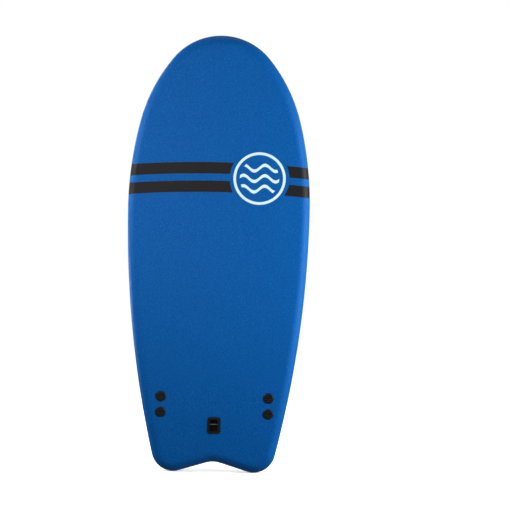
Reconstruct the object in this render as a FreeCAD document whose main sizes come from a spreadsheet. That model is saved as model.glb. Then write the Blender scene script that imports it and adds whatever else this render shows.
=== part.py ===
"""A short twin-fin soft-top surfboard that stands upright on its two tail tips.

Frame, in millimetres: +Z runs from the tail to the nose, +X to the rider's right, the deck
faces -Y and the bottom faces +Y. The flat of the bottom lies in the plane Y = 0, and the
tail tips stand on Z = 0.
"""

import FreeCAD, Part
import math
import os
import Sketcher
from FreeCAD import Placement, Rotation, Vector

doc = FreeCAD.newDocument("surfboard")

# ---------------------------------------------------------------- driving dimensions

DIMENSIONS = [
    # outline, seen from the deck
    ("board_length", 1372, "tail tips to nose, 54 inches"),
    ("board_width", 574, "at the widest point"),
    ("wide_point", 830, "height of the widest point above the tail tips"),
    ("nose_radius", 197, "arc round the nose"),
    ("shoulder_radius", 498, "arc between the nose and the front rail"),
    ("front_rail_radius", 1100, "arc from the shoulder to the widest point"),
    ("tip_radius", 69, "arc round each tail tip"),
    ("tip_spacing", 254, "between the lowest points of the two tail tips"),
    ("notch_depth", 32, "height of the notch between the tips"),
    ("notch_radius", 78, "arc at the top of the notch"),
    # side view
    ("thickness", 60, "deck to bottom, where both are flat"),
    ("nose_thickness", 42, "at the nose end"),
    ("tail_thickness", 40, "at the tail end"),
    ("nose_rocker", 70, "lift of the bottom at the nose"),
    ("tail_rocker", 14, "lift of the bottom at the tail"),
    ("bottom_flat_start", 170, "where the tail rocker ends"),
    ("bottom_flat_end", 760, "where the nose rocker starts"),
    ("deck_flat_start", 400, "where the deck stops falling to the tail"),
    ("deck_flat_end", 700, "where the deck starts rising to the nose"),
    ("deck_edge_radius", 30, "round of the rail on the deck side"),
    ("bottom_edge_radius", 8, "round of the rail on the bottom side"),
    # laminate
    ("skin_thickness", 5, "closed-cell foam skin over the deck and rails"),
    ("slick_thickness", 2, "plastic sheet on the bottom"),
    ("slick_border", 9, "from the outline to the slick's edge"),
    ("stringer_offset", 72, "each stringer from the centreline"),
    ("stringer_width", 9, "across the board"),
    ("stringer_cover", 9, "foam over and under a stringer"),
    ("stringer_setback", 40, "from the outline to a stringer's ends"),
    # fin boxes, one on each side
    ("fin_offset", 169, "fin line from the centreline"),
    ("fin_middle", 232, "middle of the two fin tabs above the tail tips"),
    ("plate_width", 42, "fin box plate, across the board"),
    ("plate_length", 121, "fin box plate, along the board"),
    ("plate_thickness", 4, "fin box plate"),
    ("plate_corner", 14, "radius of the plate's corners"),
    ("plate_proud", 1, "how far the plate stands out of the bottom"),
    ("socket_width", 24, "moulding round a tab socket, across the board"),
    ("socket_length", 25, "moulding round a tab socket, along the board"),
    ("socket_floor", 3, "below the tab"),
    ("barrel_radius", 8, "threaded barrel that reaches through the core"),
    ("barrel_lag", 19.5, "barrel behind the middle of its tab"),
    ("barrel_length", 51, "from the plate's face"),
    ("barrel_floor", 9, "solid end of the bore, from the plate's face"),
    # fins
    ("tab_spacing", 50, "between the middles of the tabs"),
    ("tab_length", 17, "along the board"),
    ("tab_thickness", 6.4, "across the board"),
    ("tab_depth", 12, "into the box"),
    ("tab_gap", 0.25, "clearance all round a tab"),
    ("fin_lead", 47, "front of the fin's base ahead of the middle of its tabs"),
    ("fin_height", 104, "base to top"),
    ("fin_reach", 146, "front of the base to the rearmost point of the tip"),
    ("fin_peak", 123, "front of the base to the highest point"),
    ("fin_thickness", 7.5, "thickest section, at the base"),
    ("fin_edge", 0.8, "thickness of the trailing edge"),
    ("fin_cant", 5, "outward lean, degrees"),
    ("leading_radius", 350, "lower part of the leading edge"),
    ("sweep_radius", 114, "upper part of the leading edge"),
    ("fin_base", 97, "length where it meets the board"),
    ("fin_tip_radius", 10, "arc round the tip"),
    ("trailing_radius", 40, "hollow of the trailing edge"),
    ("trailing_waist", 94, "front of the base to the hollow's foremost point"),
    ("waist_height", 36, "height of that point"),
    # screws that clamp the fin tabs
    ("screw_radius", 2.5, "M5"),
    ("screw_length", 5, "threaded part"),
    ("screw_tilt", 40, "lean of its axis from the plate's normal, degrees"),
    ("screw_bite", 7.8, "depth of its point below the plate's face"),
    ("screw_gap", 0.15, "between its point and the tab"),
    ("screw_point", 0.6, "radius of the blunted point"),
    ("screw_key", 2.5, "hexagon across flats"),
    ("screw_key_depth", 2.5, "hexagon socket"),
    # bolts that clamp the fin boxes from the deck
    ("bolt_head_radius", 16, "round deck cap"),
    ("bolt_head_height", 3.2, "cap thickness"),
    ("bolt_recess", 2.2, "how deep the cap sits in the skin"),
    ("bolt_radius", 5, "shank"),
    ("bolt_length", 38, "shank under the head"),
    ("bolt_slot", 3, "coin slot width"),
    ("bolt_slot_depth", 1.3, "coin slot depth"),
    ("bolt_rim", 1.5, "round of the cap's rim"),
    ("running_gap", 0.06, "radial clearance of a thread in its bore"),
    ("part_gap", 0.3, "clearance between other pieces that come apart"),
    # leash plug
    ("leash_height", 149, "middle of the plug above the tail tips"),
    ("leash_width", 39, "flange, across the board"),
    ("leash_length", 51, "flange, along the board"),
    ("leash_corner", 7, "radius of the flange's corners"),
    ("leash_flange", 3, "flange thickness"),
    ("leash_proud", 1, "how far the flange stands out of the deck"),
    ("leash_wall", 3, "cup wall and floor"),
    ("leash_rim", 4, "flange outside the cup"),
    ("leash_depth", 20, "cup below the flange's face"),
    ("leash_bar_radius", 2.5, "bar that a leash is tied to"),
    ("leash_bar_depth", 6.5, "bar's axis below the flange's face"),
    ("leash_bar_rise", 3, "bar's axis towards the nose from the cup's middle"),
    ("anchor_border", 14, "dense foam round the cup"),
    ("anchor_depth", 28, "dense foam block, below the deck's skin"),
]

sheet = doc.addObject("Spreadsheet::Sheet", "dims")
for row, (alias, value, meaning) in enumerate(DIMENSIONS, start=1):
    sheet.set(f"A{row}", alias)
    sheet.set(f"B{row}", str(value))
    sheet.setAlias(f"B{row}", alias)
    sheet.set(f"C{row}", meaning)
doc.recompute()


def dim(alias):
    return float(getattr(sheet, alias))


# ---------------------------------------------------------------- sketch helpers

START, END, CENTRE = 1, 2, 3
ORIGIN = (-1, 1)
X_AXIS, Y_AXIS = -1, -2
MARGIN = 20.0


def origin_plane(body, role):
    return next(feature for feature in body.Origin.OriginFeatures if feature.Role == role)


def sketch_on(body, name, role):
    sketch = body.newObject("Sketcher::SketchObject", name)
    sketch.AttachmentSupport = [(origin_plane(body, role), "")]
    sketch.MapMode = "FlatFace"
    return sketch


def bind(sketch, name, kind, where, expression):
    """Adds a named dimension to a sketch and ties it to the spreadsheet."""
    value = float(sketch.evalExpression(expression))
    index = sketch.addConstraint(Sketcher.Constraint(kind, *where, value))
    sketch.renameConstraint(index, name)
    sketch.setExpression(f"Constraints.{name}", expression)


def end_near(sketch, edge, point):
    return min((START, END), key=lambda end: (sketch.getPoint(edge, end) - point).Length)


def closed_chain(sketch, pieces):
    """Lines and arcs that follow each other round a loop. Each piece is its start, the point
    that an arc passes through (None for a line), and how it joins the next piece."""
    starts = [Vector(*start, 0) for start, _, _ in pieces]
    stops = starts[1:] + starts[:1]
    edges = []
    for start, stop, (_, via, _) in zip(starts, stops, pieces):
        curve = Part.Arc(start, Vector(*via, 0), stop) if via else Part.LineSegment(start, stop)
        edges.append(sketch.addGeometry(curve))
    for index, (stop, (_, _, joint)) in enumerate(zip(stops, pieces)):
        edge, following = edges[index], edges[(index + 1) % len(edges)]
        ends = edge, end_near(sketch, edge, stop), following, end_near(sketch, following, stop)
        sketch.addConstraint(Sketcher.Constraint(joint, *ends))
    return edges


SMOOTH, SHARP = "Tangent", "Coincident"

# ---------------------------------------------------------------- the board's two views


def side_view(body, deck_inset, bottom_inset):
    """Side view, drawn past both ends. Each curve is concentric with the board's own."""
    sketch = sketch_on(body, "SideView", "YZ_Plane")
    low, high = -MARGIN, dim("board_length") + MARGIN
    flat_start, flat_end = dim("bottom_flat_start"), dim("bottom_flat_end")
    deck_start, deck_end = dim("deck_flat_start"), dim("deck_flat_end")
    deck = -dim("thickness")
    nose_lift, deck_lift = -dim("nose_rocker"), deck - dim("nose_rocker")
    middle = (flat_end + high) / 2
    edges = closed_chain(sketch, [
        ((-dim("tail_rocker"), low), (-4, flat_start / 2), SMOOTH),
        ((0, flat_start), None, SMOOTH),
        ((0, flat_end), (nose_lift / 4, middle), SHARP),
        ((nose_lift, high), None, SHARP),
        ((deck_lift, high), ((3 * deck + deck_lift) / 4, middle), SMOOTH),
        ((deck, deck_end), None, SMOOTH),
        ((deck, deck_start), (deck + 2, deck_start / 2), SHARP),
        ((deck + 6, low), None, SHARP),
    ])
    tail_curve, flat, nose_curve, nose_end, deck_rise, deck_flat, deck_fall, tail_end = edges

    for line in (flat, deck_flat):
        sketch.addConstraint(Sketcher.Constraint("Vertical", line))
    for line in (nose_end, tail_end):
        sketch.addConstraint(Sketcher.Constraint("Horizontal", line))
    flat_ends = (flat, START), (flat, END), (deck_flat, END), (deck_flat, START)
    levels = "bottom_flat_start", "bottom_flat_end", "deck_flat_start", "deck_flat_end"
    for place, level in zip(flat_ends, levels):
        bind(sketch, level, "DistanceY", (*ORIGIN, *place), f"dims.{level}")
    bind(sketch, "nose_end", "DistanceY", (*ORIGIN, nose_end, START),
         f"dims.board_length + {MARGIN}")
    bind(sketch, "tail_end", "DistanceY", (tail_end, START, *ORIGIN), f"{MARGIN}")
    bind(sketch, "deck_level", "DistanceX", (deck_flat, START, *ORIGIN),
         f"dims.thickness - ({deck_inset})")
    bind(sketch, "bottom_level", "DistanceX", (flat, START, *ORIGIN), f"{bottom_inset}")

    def bend(name, edge, run, lift, inset):
        """Radius of an arc that leaves a flat and is off it by lift at the board's end."""
        bind(sketch, name, "Radius", (edge,), f"(({run})^2 + ({lift})^2) / (2 * ({lift})) {inset}")

    bend("nose_bend", nose_curve, "dims.board_length - dims.bottom_flat_end",
         "dims.nose_rocker", f"- ({bottom_inset})")
    bend("tail_bend", tail_curve, "dims.bottom_flat_start",
         "dims.tail_rocker", f"- ({bottom_inset})")
    bend("deck_rise", deck_rise, "dims.board_length - dims.deck_flat_end",
         "dims.nose_rocker + dims.nose_thickness - dims.thickness", f"+ ({deck_inset})")
    bend("deck_fall", deck_fall, "dims.deck_flat_start",
         "dims.thickness - dims.tail_rocker - dims.tail_thickness", f"- ({deck_inset})")
    return sketch


def outline(body, inset):
    """Everything outside the board's outline, which is a chain of tangent arcs: one round the
    nose, a shoulder, a front and a rear rail arc and a tail tip on each side, and the notch."""
    sketch = sketch_on(body, "Outline", "XZ_Plane")
    length, half = dim("board_length"), dim("board_width") / 2
    # rough places of the joints on the right side, which the constraints move to their own
    nose, shoulder, wide = (150, length - 70), (half - 34, length - 269), (half, dim("wide_point"))
    corner, flank, notch = (194, 53), (106, 3), (23, 29)

    def mirrored(point):
        return -point[0], point[1]

    edges = closed_chain(sketch, [
        (mirrored(nose), (0, length), SMOOTH),
        (nose, (213, length - 164), SMOOTH),
        (shoulder, (277, length - 400), SMOOTH),
        (wide, (262, length / 3), SMOOTH),
        (corner, (158, 8), SMOOTH),
        (flank, None, SMOOTH),
        (notch, (0, dim("notch_depth")), SMOOTH),
        (mirrored(notch), None, SMOOTH),
        (mirrored(flank), (-158, 8), SMOOTH),
        (mirrored(corner), (-262, length / 3), SMOOTH),
        (mirrored(wide), (-277, length - 400), SMOOTH),
        (mirrored(shoulder), (-213, length - 164), SMOOTH),
    ])
    nose_arc, right_side, notch_arc, left_side = edges[0], edges[1:6], edges[6], edges[:6:-1]
    for middle_arc in (nose_arc, notch_arc):
        sketch.addConstraint(Sketcher.Constraint("PointOnObject", middle_arc, CENTRE, Y_AXIS))
    bind(sketch, "nose_radius", "Radius", (nose_arc,), f"dims.nose_radius - {inset}")
    bind(sketch, "nose_centre", "DistanceY", (*ORIGIN, nose_arc, CENTRE),
         "dims.board_length - dims.nose_radius")
    bind(sketch, "notch_radius", "Radius", (notch_arc,), f"dims.notch_radius + {inset}")
    bind(sketch, "notch_centre", "DistanceY", (notch_arc, CENTRE, *ORIGIN),
         "dims.notch_radius - dims.notch_depth")
    for side, (shoulder_arc, front_rail, rear_rail, tip, _) in (
        ("right", right_side), ("left", left_side)
    ):
        half_width = f"dims.board_width / 2 - {inset}"
        widest = rear_rail, end_near(sketch, rear_rail, Vector(half if side == "right" else -half,
                                                               dim("wide_point"), 0))
        outward = (*ORIGIN, *widest) if side == "right" else (*widest, *ORIGIN)
        bind(sketch, f"{side}_width", "DistanceX", outward, half_width)
        bind(sketch, f"{side}_wide_point", "DistanceY", (*ORIGIN, *widest), "dims.wide_point")
        sketch.addConstraint(Sketcher.Constraint("Horizontal", front_rail, CENTRE, *widest))
        bind(sketch, f"{side}_front", "Radius", (front_rail,), f"dims.front_rail_radius - {inset}")
        bind(sketch, f"{side}_shoulder", "Radius", (shoulder_arc,),
             f"dims.shoulder_radius - {inset}")
        bind(sketch, f"{side}_tip", "Radius", (tip,), f"dims.tip_radius - {inset}")
        bind(sketch, f"{side}_tip_height", "DistanceY", (*ORIGIN, tip, CENTRE), "dims.tip_radius")
        outward = (*ORIGIN, tip, CENTRE) if side == "right" else (tip, CENTRE, *ORIGIN)
        bind(sketch, f"{side}_tip_place", "DistanceX", outward, "dims.tip_spacing / 2")

    reach = half + MARGIN
    closed_chain(sketch, [
        ((-reach, -MARGIN), None, SHARP),
        ((reach, -MARGIN), None, SHARP),
        ((reach, length + MARGIN), None, SHARP),
        ((-reach, length + MARGIN), None, SHARP),
    ])
    return sketch


def rail_edges(shape, side):
    """Names of the edges between the outline's walls and the deck (-1) or the bottom (+1)."""
    names = []
    for number, edge in enumerate(shape.Edges, start=1):
        middle = edge.valueAt((edge.FirstParameter + edge.LastParameter) / 2)
        faces = shape.ancestorsOfType(edge, Part.Face)
        facing = sorted(abs(y) if y * side > 0 else 0 for y in (
            face.normalAt(*face.Surface.parameter(middle)).y for face in faces))
        if facing[0] < 0.1 and facing[1] > 0.9:
            names.append(f"Edge{number}")
    return names


def round_edges(body, name, choose, radius):
    """Rounds the edges that choose picks from the body's shape so far."""
    fillet = body.newObject("PartDesign::Fillet", name)
    base = body.Tip if body.Tip != fillet else fillet.BaseFeature
    fillet.Base = (base, choose(base.Shape))
    fillet.setExpression("Radius", radius)
    doc.recompute()


def blank(name, edge_inset="0", deck_inset="0", bottom_inset="0"):
    """The board's solid, or one that lies inside it at the given distances."""
    body = doc.addObject("PartDesign::Body", name)
    slab = body.newObject("PartDesign::Pad", "Slab")
    slab.Profile = side_view(body, deck_inset, bottom_inset)
    slab.SideType = "Symmetric"
    slab.setExpression("Length", "dims.board_width + 10")
    doc.recompute()
    trim = body.newObject("PartDesign::Pocket", "Trim")
    trim.Profile = outline(body, edge_inset)
    trim.SideType = "Symmetric"
    trim.Type = "ThroughAll"
    doc.recompute()
    return body


# ---------------------------------------------------------------- solids and booleans


def place(item, x="0", y="0", z="0", rotation=Rotation()):
    item.Placement = Placement(Vector(), rotation)
    for axis, expression in zip("xyz", (x, y, z)):
        item.setExpression(f"Placement.Base.{axis}", expression)
    return item


def primitive(kind, name, at, rotation=Rotation(), **sizes):
    item = doc.addObject(f"Part::{kind}", name)
    for size, expression in sizes.items():
        item.setExpression(size, expression)
    return place(item, *at, rotation)


def centred_box(name, middle, width, depth, length):
    """A box round middle in X and Z that reaches from its Y towards the deck."""
    x, y, z = middle
    corner = f"{x} - ({width}) / 2", f"{y} - ({depth})", f"{z} - ({length}) / 2"
    return primitive("Box", name, corner, Length=width, Width=depth, Height=length)


TO_DECK, TO_BOTTOM = Rotation(Vector(1, 0, 0), 90), Rotation(Vector(1, 0, 0), -90)


def fuse(name, items):
    result = doc.addObject("Part::MultiFuse", name)
    result.Shapes = list(items)
    return result


def cut(name, base, tool):
    result = doc.addObject("Part::Cut", name)
    result.Base, result.Tool = base, tool
    return result


def common(name, base, tool):
    result = doc.addObject("Part::Common", name)
    result.Base, result.Tool = base, tool
    return result


def rounded_rectangle(body, name, role, width, height, radius, offset="0"):
    """A rectangle with round corners about the origin of one of the body's planes."""
    sketch = sketch_on(body, name, role)
    sketch.setExpression("AttachmentOffset.Base.z", offset)
    x, y, r = (float(sketch.evalExpression(text)) for text in (
        f"({width}) / 2", f"({height}) / 2", radius))
    bulge = r * (1 - math.sqrt(0.5))
    edges = closed_chain(sketch, [
        ((x, r - y), None, SMOOTH),
        ((x, y - r), (x - bulge, y - bulge), SMOOTH),
        ((x - r, y), None, SMOOTH),
        ((r - x, y), (bulge - x, y - bulge), SMOOTH),
        ((-x, y - r), None, SMOOTH),
        ((-x, r - y), (bulge - x, bulge - y), SMOOTH),
        ((r - x, -y), None, SMOOTH),
        ((x - r, -y), (x - bulge, bulge - y), SMOOTH),
    ])
    right, top, left, bottom = edges[::2]
    for line in (right, left):
        sketch.addConstraint(Sketcher.Constraint("Vertical", line))
    for line in (top, bottom):
        sketch.addConstraint(Sketcher.Constraint("Horizontal", line))
    bind(sketch, "right", "DistanceX", (*ORIGIN, right, START), f"({width}) / 2")
    bind(sketch, "left", "DistanceX", (left, START, *ORIGIN), f"({width}) / 2")
    bind(sketch, "top", "DistanceY", (*ORIGIN, top, START), f"({height}) / 2")
    bind(sketch, "bottom", "DistanceY", (bottom, START, *ORIGIN), f"({height}) / 2")
    for number, corner in enumerate(edges[1::2]):
        bind(sketch, f"corner_{number}", "Radius", (corner,), radius)
    return sketch


def pad(body, name, sketch, length, reverse=False):
    feature = body.newObject("PartDesign::Pad", name)
    feature.Profile = sketch
    feature.Reversed = reverse
    feature.setExpression("Length", length)
    doc.recompute()
    return feature


def pocket(body, name, sketch, length):
    feature = body.newObject("PartDesign::Pocket", name)
    feature.Profile = sketch
    feature.setExpression("Length", length)
    doc.recompute()
    return feature


def polygon(body, name, role, corners):
    """A closed outline of straight lines, each of its corners bound to the spreadsheet."""
    sketch = sketch_on(body, name, role)
    values = [[float(sketch.evalExpression(text)) for text in corner] for corner in corners]
    edges = closed_chain(sketch, [(corner, None, SHARP) for corner in values])
    for number, (edge, corner, value) in enumerate(zip(edges, corners, values)):
        spot = edge, end_near(sketch, edge, Vector(*value, 0))
        for axis, text, amount, line in zip("XY", corner, value, (Y_AXIS, X_AXIS)):
            if abs(amount) < 1e-9:
                sketch.addConstraint(Sketcher.Constraint("PointOnObject", *spot, line))
            elif amount > 0:
                bind(sketch, f"{axis}{number}", f"Distance{axis}", (*ORIGIN, *spot), text)
            else:
                bind(sketch, f"{axis}{number}", f"Distance{axis}", (*spot, *ORIGIN), f"-({text})")
    return sketch


def turned(name, corners):
    """A body turned about its own Z axis from (radius, height) corners."""
    body = doc.addObject("PartDesign::Body", name)
    turn = body.newObject("PartDesign::Revolution", "Turned")
    turn.Profile = polygon(body, "HalfSection", "XZ_Plane", corners)
    turn.ReferenceAxis = (turn.Profile[0], ["V_Axis"])
    doc.recompute()
    return body


# ---------------------------------------------------------------- laminate, before its cut-outs

board = blank("BoardBlank")
core_blank = blank("CoreBlank", "dims.skin_thickness", "dims.skin_thickness",
                   "dims.slick_thickness")
for body, inset in (board, "0"), (core_blank, "dims.skin_thickness"):
    for name, side, radius in (("DeckRail", -1, "dims.deck_edge_radius"),
                               ("BottomRail", +1, "dims.bottom_edge_radius")):
        round_edges(body, name, lambda shape: rail_edges(shape, side), f"{radius} - {inset}")
slick_blank = blank("SlickBlank", "dims.slick_border", "dims.thickness / 2")
stringer_blank = blank("StringerBlank", "dims.stringer_setback",
                       "dims.skin_thickness + dims.stringer_cover",
                       "dims.slick_thickness + dims.stringer_cover")

# ---------------------------------------------------------------- stringers

parts = {}
SIDES = {"left": -1, "right": +1}

for side, sign in SIDES.items():
    place_in_board = f"{sign} * dims.stringer_offset", "0", "dims.board_length / 2"
    slat = centred_box(f"Slat_{side}", place_in_board, "dims.stringer_width",
                       "dims.nose_rocker + dims.thickness", "dims.board_length")
    parts[f"stringer_{side}"] = common(f"Stringer_{side}", stringer_blank, slat)

# ---------------------------------------------------------------- fins


def deck_level(height):
    """Expression for the deck's Y at a height on its tail curve."""
    drop = "(dims.thickness - dims.tail_rocker - dims.tail_thickness)"
    radius = f"((dims.deck_flat_start^2 + {drop}^2) / (2 * {drop}))"
    return f"({radius} - dims.thickness - sqrt({radius}^2 - (dims.deck_flat_start - {height})^2))"


def fin_outline():
    """The blade seen from its side: X runs back from the front of the base, Y to the tip."""
    body = doc.addObject("PartDesign::Body", "FinPlan")
    sketch = sketch_on(body, "FinOutline", "XY_Plane")
    leading, sweep, tip, _, hollow, _, base = closed_chain(sketch, [
        ((0, 0), (12.5, 26.2), SMOOTH),
        ((26.7, 51), (57.6, 83.4), SMOOTH),
        ((137.2, 103.1), (146, 93), SMOOTH),
        ((141.2, 84.6), None, SMOOTH),
        ((113.4, 70.3), (96, 48), SMOOTH),
        ((94.1, 33), None, SHARP),
        ((97, 0), None, SHARP),
    ])
    ends = {edge: end_near(sketch, edge, Vector()) for edge in (leading, base)}
    sketch.addConstraint(Sketcher.Constraint("Coincident", base, ends[base], *ORIGIN))
    sketch.addConstraint(Sketcher.Constraint("Horizontal", base))
    radii = {"leading_radius": leading, "sweep_radius": sweep, "fin_tip_radius": tip,
             "trailing_radius": hollow}
    for name, edge in radii.items():
        bind(sketch, name, "Radius", (edge,), f"dims.{name}")
    bind(sketch, "height", "DistanceY", (sweep, CENTRE, *ORIGIN),
         "dims.sweep_radius - dims.fin_height")
    bind(sketch, "peak", "DistanceX", (*ORIGIN, sweep, CENTRE), "dims.fin_peak")
    bind(sketch, "reach", "DistanceX", (*ORIGIN, tip, CENTRE),
         "dims.fin_reach - dims.fin_tip_radius")
    bind(sketch, "waist", "DistanceX", (*ORIGIN, hollow, CENTRE),
         "dims.trailing_waist + dims.trailing_radius")
    bind(sketch, "waist_height", "DistanceY", (*ORIGIN, hollow, CENTRE), "dims.waist_height")
    bind(sketch, "base", "DistanceX", (base, END, base, START), "dims.fin_base")
    doc.recompute()
    return Part.Face(sketch.Shape)


FOIL_STATIONS = 0, 0.012, 0.05, 0.12, 0.25, 0.42, 0.6, 0.78, 0.92, 1
BLADE_LEVELS = 0, 0.15, 0.3, 0.45, 0.58, 0.7, 0.79, 0.86, 0.92, 0.96, 0.985, 0.997


def foil_half(station, thickness):
    """Half thickness of the foil at a share of its chord: a round nose and a fine tail."""
    root = math.sqrt(station)
    shape = 1.4845 * root - station * (0.63 + station * (1.758 - station * (1.4215 - 0.5075 * station)))
    return thickness * shape + dim("fin_edge") / 2 * station


def foil_section(face, level, sign):
    """One slice of the blade across its height, in the board's frame."""
    height = level * dim("fin_height")
    reach = dim("fin_reach") + MARGIN
    ruler = Part.makeLine(Vector(-MARGIN, height, 0), Vector(reach, height, 0))
    chord = face.common(ruler).BoundBox
    thickness = dim("fin_thickness") * (1 - 0.6 * level) * math.sqrt(1 - level**14)
    lean = height * math.tan(math.radians(dim("fin_cant")))
    front = dim("fin_middle") + dim("fin_lead")
    base = dim("plate_proud") + dim("part_gap")

    def point(station, half):
        back = chord.XMin + station * chord.XLength
        across = sign * (dim("fin_offset") + lean)
        return Vector(across + half, base + height, front - back)

    flanks = []
    for flank in (-1, +1):
        curve = Part.BSplineCurve()
        curve.interpolate([point(x, flank * foil_half(x, thickness)) for x in FOIL_STATIONS])
        flanks.append(curve.toShape())
    tail = Part.makeLine(flanks[1].Vertexes[-1].Point, flanks[0].Vertexes[-1].Point)
    return Part.Wire([flanks[0], tail, flanks[1]])


fin_plan = fin_outline()
FIN_BASE = "dims.plate_proud + dims.part_gap"
for side, sign in SIDES.items():
    blade = doc.addObject("Part::Feature", f"Blade_{side}")
    blade.Shape = Part.makeLoft([foil_section(fin_plan, level, sign) for level in BLADE_LEVELS], True)
    tabs = [
        centred_box(f"Tab_{side}_{end}",
                    (f"{sign} * dims.fin_offset", FIN_BASE,
                     f"dims.fin_middle + {ahead} * dims.tab_spacing / 2"),
                    "dims.tab_thickness", "dims.tab_depth + dims.part_gap", "dims.tab_length")
        for end, ahead in (("front", +1), ("rear", -1))
    ]
    parts[f"fin_{side}"] = fuse(f"Fin_{side}", [blade, *tabs])

# ---------------------------------------------------------------- fin boxes and their screws

ENDS = {"front": +1, "rear": -1}
FACE = "dims.plate_proud"


def fin_line(sign):
    return f"{sign} * dims.fin_offset"


def tab_middle(ahead):
    return f"dims.fin_middle + {ahead} * dims.tab_spacing / 2"


def bolt_middle(ahead):
    return f"{tab_middle(ahead)} - dims.barrel_lag"


def fin_box_mould(side, sign):
    """A fin box before it is hollowed: its plate, two tab sockets and two barrels."""
    plate = doc.addObject("PartDesign::Body", f"FinBoxPlate_{side}")
    place(plate, fin_line(sign), FACE, "dims.fin_middle")
    rim = rounded_rectangle(plate, "PlateOutline", "XZ_Plane", "dims.plate_width",
                            "dims.plate_length", "dims.plate_corner")
    pad(plate, "Plate", rim, "dims.plate_thickness")
    pieces = [plate]
    for end, ahead in ENDS.items():
        pieces += [
            centred_box(f"Socket_{side}_{end}", (fin_line(sign), FACE, tab_middle(ahead)),
                        "dims.socket_width", "dims.tab_depth + dims.tab_gap + dims.socket_floor",
                        "dims.socket_length"),
            primitive("Cylinder", f"Barrel_{side}_{end}",
                      (fin_line(sign), FACE, bolt_middle(ahead)), TO_DECK,
                      Radius="dims.barrel_radius", Height="dims.barrel_length"),
        ]
    return fuse(f"FinBoxMould_{side}", pieces)


def screw_spot(sign, ahead):
    """Where a grub screw's point is, and the direction it comes in from: the front screw is
    on the inboard side of the fin and the rear one on the outboard side."""
    outboard = -sign * ahead
    spot = (f"{fin_line(sign)} + {outboard} * (dims.tab_thickness / 2 + dims.screw_gap)",
            f"{FACE} - dims.screw_bite", tab_middle(ahead))
    return spot, Rotation(Vector(0, 0, 1), -outboard * dim("screw_tilt")) * TO_BOTTOM


def hollow(side, sign):
    """What is taken out of a fin box: tab pockets, screw holes and the barrels' bores."""
    tools = []
    for end, ahead in ENDS.items():
        spot, lean = screw_spot(sign, ahead)
        floor = f"{FACE} - dims.barrel_floor"
        tools += [
            centred_box(f"Pocket_{side}_{end}",
                        (fin_line(sign), f"{FACE} + 1", tab_middle(ahead)),
                        "dims.tab_thickness + 2 * dims.tab_gap",
                        "dims.tab_depth + dims.tab_gap + 1",
                        "dims.tab_length + 2 * dims.tab_gap"),
            primitive("Cylinder", f"ScrewHole_{side}_{end}", spot, lean,
                      Radius="dims.screw_radius + dims.running_gap",
                      Height="2 * dims.screw_bite"),
            primitive("Cylinder", f"Bore_{side}_{end}",
                      (fin_line(sign), floor, bolt_middle(ahead)), TO_DECK,
                      Radius="dims.bolt_radius + dims.running_gap",
                      Height="dims.barrel_length"),
        ]
    return fuse(f"FinBoxHollow_{side}", tools)


def grub_screw(name):
    """Its sharp point would be at the origin; its head faces +Z and has a hexagon socket."""
    slope = "tan(dims.screw_tilt)"
    shoulder, tip = f"dims.screw_radius / {slope}", f"dims.screw_point / {slope}"
    top = f"{shoulder} + dims.screw_length"
    body = turned(name, [
        ("0", tip),
        ("dims.screw_point", tip),
        ("dims.screw_radius", shoulder),
        ("dims.screw_radius", top),
        ("0", top),
    ])
    flat, point = "dims.screw_key / 2", "dims.screw_key / sqrt(3)"
    hexagon = polygon(body, "Hexagon", "XY_Plane", [
        (flat, f"{point} / 2"), ("0", point), (f"-{flat}", f"{point} / 2"),
        (f"-{flat}", f"-{point} / 2"), ("0", f"-{point}"), (flat, f"-{point} / 2"),
    ])
    hexagon.setExpression("AttachmentOffset.Base.z", top)
    pocket(body, "Key", hexagon, "dims.screw_key_depth")
    return body


def deck_bolt(name):
    """The underside of its cap is at the origin; the cap faces +Z and has a coin slot."""
    chamfer = "dims.bolt_radius / 5"
    body = turned(name, [
        ("0", "-dims.bolt_length"),
        (f"dims.bolt_radius - {chamfer}", "-dims.bolt_length"),
        ("dims.bolt_radius", f"{chamfer} - dims.bolt_length"),
        ("dims.bolt_radius", "0"),
        ("dims.bolt_head_radius", "0"),
        ("dims.bolt_head_radius", "dims.bolt_head_height"),
        ("0", "dims.bolt_head_height"),
    ])
    top = dim("bolt_head_height") - 0.01
    round_edges(body, "Rim", lambda shape: [
        f"Edge{number}" for number, edge in enumerate(shape.Edges, start=1)
        if edge.BoundBox.ZMin > top], "dims.bolt_rim")
    reach, half = "1.3 * dims.bolt_head_radius / 2", "dims.bolt_slot / 2"
    slot = polygon(body, "CoinSlot", "XY_Plane", [
        (reach, f"-{half}"), (reach, half), (f"-{reach}", half), (f"-{reach}", f"-{half}"),
    ])
    slot.setExpression("AttachmentOffset.Base.z", "dims.bolt_head_height")
    pocket(body, "Slot", slot, "dims.bolt_slot_depth")
    return body


moulds, deck_holes, bolt_holes = [], [], []
for side, sign in SIDES.items():
    mould = fin_box_mould(side, sign)
    moulds.append(mould)
    parts[f"fin_box_{side}"] = cut(f"FinBox_{side}", mould, hollow(side, sign))
    for end, ahead in ENDS.items():
        spot, lean = screw_spot(sign, ahead)
        screw = grub_screw(f"GrubScrew_{side}_{end}")
        parts[f"fin_screw_{side}_{end}"] = place(screw, *spot, lean)
        height = bolt_middle(ahead)
        seat = f"{deck_level(f'({height})')} + dims.bolt_recess"
        bolt = deck_bolt(f"DeckBolt_{side}_{end}")
        parts[f"deck_bolt_{side}_{end}"] = place(
            bolt, fin_line(sign), f"{seat} - dims.part_gap", height, TO_DECK)
        deck_holes.append(primitive(
            "Cylinder", f"CapRecess_{side}_{end}", (fin_line(sign), seat, height), TO_DECK,
            Radius="dims.bolt_head_radius + dims.part_gap", Height="2 * dims.bolt_head_height"))
        bolt_holes.append(primitive(
            "Cylinder", f"BoltHole_{side}_{end}",
            (fin_line(sign), f"{FACE} - dims.barrel_length", height), TO_DECK,
            Radius="dims.bolt_radius + dims.part_gap", Height="dims.thickness"))

# ---------------------------------------------------------------- leash plug

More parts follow.
